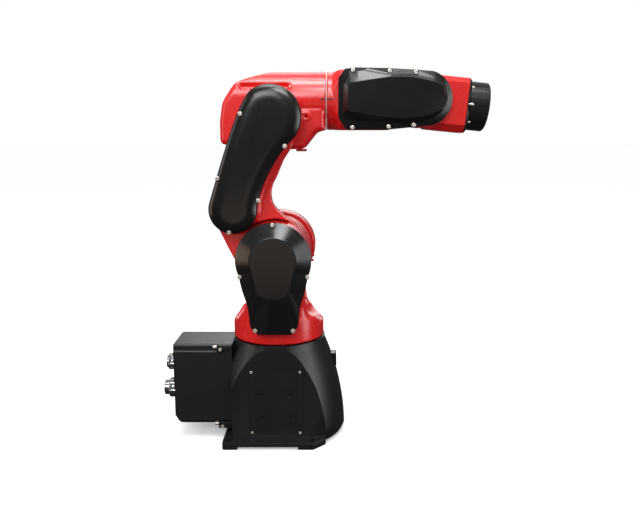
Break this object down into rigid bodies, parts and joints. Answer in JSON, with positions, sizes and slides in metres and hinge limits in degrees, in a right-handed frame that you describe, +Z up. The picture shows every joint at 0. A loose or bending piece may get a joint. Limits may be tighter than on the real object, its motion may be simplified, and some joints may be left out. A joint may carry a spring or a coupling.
{
  "type": "desktop robot arm",
  "caption": "Desktop six-axis robot arm with red cast links, black covers, a foot-plate base with a rear connector box, and a round tool flange.",
  "frame": {"origin": "on the mounting plane, where the first (vertical) axis meets it", "axes": "+Z up along the first axis, +X towards the tool at rest, -Y towards the side that carries the shoulder and upper-arm covers"},
  "size_m": [0.555, 0.212, 0.6206],
  "materials": {
    "red_paint": "gloss enamel",
    "black_paint": "satin",
    "black_cover": "satin gloss",
    "chrome": "polished",
    "steel": "machined",
    "aluminium": "machined",
    "belt": "matt",
    "motor": "black anodised",
    "board": "solder mask"
  },
  "bodies": {
    "base": {"base_casting": "black_paint", "base_bottom_cover": "steel", "side_panel_near": "black_paint", "side_panel_far": "black_paint", "connector_box": "black_paint", "connector_plate": "black_paint", "power_connector": "chrome", "power_connector_ring": "chrome", "signal_connector": "chrome", "signal_connector_ring": "chrome", "terminal_board": "board", "front_port": "black_cover", "j1_motor": "motor", "j1_motor_pulley": "aluminium", "j1_drive_pulley": "aluminium", "j1_belt": "belt", "j1_gearbox": "steel", "cable_conduit": "black_cover"},
    "turret": {"turret_casting": "red_paint", "shoulder_cover": "black_cover", "far_shoulder_cover": "black_cover", "shoulder_bearing": "steel", "j2_motor": "motor", "j2_motor_pulley": "aluminium", "j2_drive_pulley": "aluminium", "j2_belt": "belt", "j2_gearbox": "steel"},
    "upper_arm": {"upper_arm_casting": "red_paint", "upper_arm_cover": "black_cover", "j3_motor": "motor", "j3_motor_pulley": "aluminium", "j3_drive_pulley": "aluminium", "j3_belt": "belt", "j3_gearbox": "steel"},
    "elbow": {"elbow_casting": "red_paint", "elbow_far_cover": "black_cover", "elbow_stop_block": "red_paint", "j4_motor": "motor", "j4_gearbox": "steel"},
    "forearm": {"forearm_casting": "red_paint", "forearm_cover_near": "black_cover", "forearm_cover_far": "black_cover", "j5_motor": "motor", "j5_motor_pulley": "aluminium", "j5_drive_pulley": "aluminium", "j5_belt": "belt", "wrist_bearing_near": "steel", "wrist_bearing_far": "steel"},
    "wrist": {"wrist_casting": "red_paint", "wrist_end_plate": "black_cover", "wrist_collar": "black_cover", "j5_gearbox": "steel", "j6_motor": "motor", "j6_gearbox": "steel"},
    "flange": {"tool_flange": "aluminium"}
  },
  "joints": [
    {"name": "j1_base", "type": "hinge", "parent": "base", "child": "turret", "pos_m": [0, 0, 0], "axis": [0, 0, 1], "range_deg": [-170, 170]},
    {"name": "j2_shoulder", "type": "hinge", "parent": "turret", "child": "upper_arm", "pos_m": [0, 0, 0.317], "axis": [0, 1, 0], "range_deg": [-60, 90]},
    {"name": "j3_elbow", "type": "hinge", "parent": "upper_arm", "child": "elbow", "pos_m": [-0.004, 0, 0.542], "axis": [0, -1, 0], "range_deg": [-60, 150]},
    {"name": "j4_forearm", "type": "hinge", "parent": "elbow", "child": "forearm", "pos_m": [0.083, 0, 0.57], "axis": [1, 0, 0], "range_deg": [-170, 170]},
    {"name": "j5_wrist", "type": "hinge", "parent": "forearm", "child": "wrist", "pos_m": [0.239, 0, 0.57], "axis": [0, -1, 0], "range_deg": [-90, 100]},
    {"name": "j6_flange", "type": "hinge", "parent": "wrist", "child": "flange", "pos_m": [0.239, 0, 0.57], "axis": [0.9951, 0, -0.0993], "range_deg": [-360, 360]}
  ]
}
